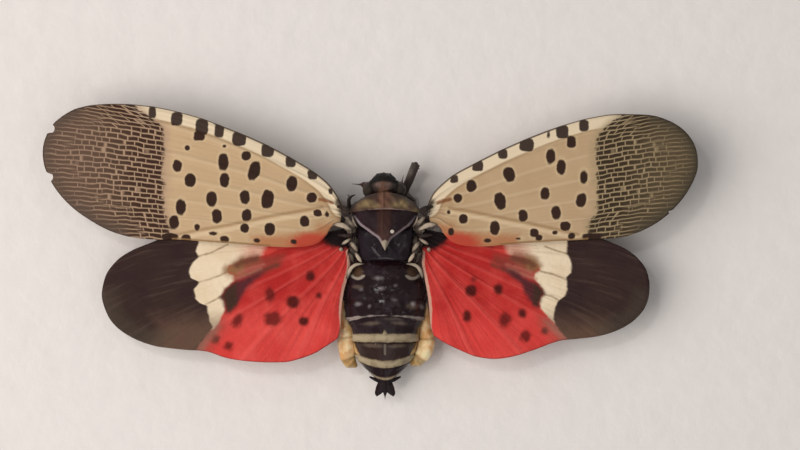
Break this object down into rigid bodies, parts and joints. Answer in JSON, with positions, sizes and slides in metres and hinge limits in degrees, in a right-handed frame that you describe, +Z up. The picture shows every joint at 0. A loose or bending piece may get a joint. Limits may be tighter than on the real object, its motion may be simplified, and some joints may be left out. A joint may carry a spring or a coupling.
{
  "type": "spotted lanternfly",
  "caption": "Life-size still model of an adult spotted lanternfly with all wings spread flat, resting on its belly and feet.",
  "frame": {"origin": "on the floor plane at the belly flat under the middle of the thorax, on the body's midline", "axes": "+Y towards the head, +X towards the insect's right wings, +Z up off the floor"},
  "size_m": [0.0458, 0.0207, 0.0049],
  "materials": {
    "forewing": "dry tan membrane with dark spots, satin",
    "hindwing": "dry red, cream and black membrane, matt",
    "cuticle": "black chitin with a faint bloom, semi-gloss",
    "notum": "brown chitin, satin",
    "eye": "dark glossy eye",
    "antenna": "orange-brown chitin, satin",
    "leg": "black-brown chitin, satin",
    "fold": "yellow swollen membrane, glossy"
  },
  "bodies": {
    "root": {"abdomen_1": "cuticle", "abdomen_2": "cuticle", "abdomen_3": "cuticle", "abdomen_4": "cuticle", "abdomen_5": "cuticle", "abdomen_6": "cuticle", "anal_flap": "cuticle", "antenna_left": "antenna", "antenna_right": "antenna", "beak": "leg", "eye_left": "eye", "eye_right": "eye", "fore_hinge_left": "notum", "fore_hinge_right": "notum", "foreleg_left_foot": "leg", "foreleg_left_shin": "leg", "foreleg_left_thigh": "leg", "foreleg_right_foot": "leg", "foreleg_right_shin": "leg", "foreleg_right_thigh": "leg", "forewing_left": "forewing", "forewing_right": "forewing", "head": "notum", "hind_hinge_left": "notum", "hind_hinge_right": "notum", "hindleg_left_foot": "leg", "hindleg_left_shin": "leg", "hindleg_left_thigh": "leg", "hindleg_right_foot": "leg", "hindleg_right_shin": "leg", "hindleg_right_thigh": "leg", "hindwing_left": "hindwing", "hindwing_right": "hindwing", "mesonotum": "notum", "metanotum": "cuticle", "midleg_left_foot": "leg", "midleg_left_shin": "leg", "midleg_left_thigh": "leg", "midleg_right_foot": "leg", "midleg_right_shin": "leg", "midleg_right_thigh": "leg", "pronotum": "notum", "side_fold_left": "fold", "side_fold_right": "fold", "tegula_left": "notum", "tegula_right": "notum", "thorax": "cuticle"}
  },
  "joints": []
}
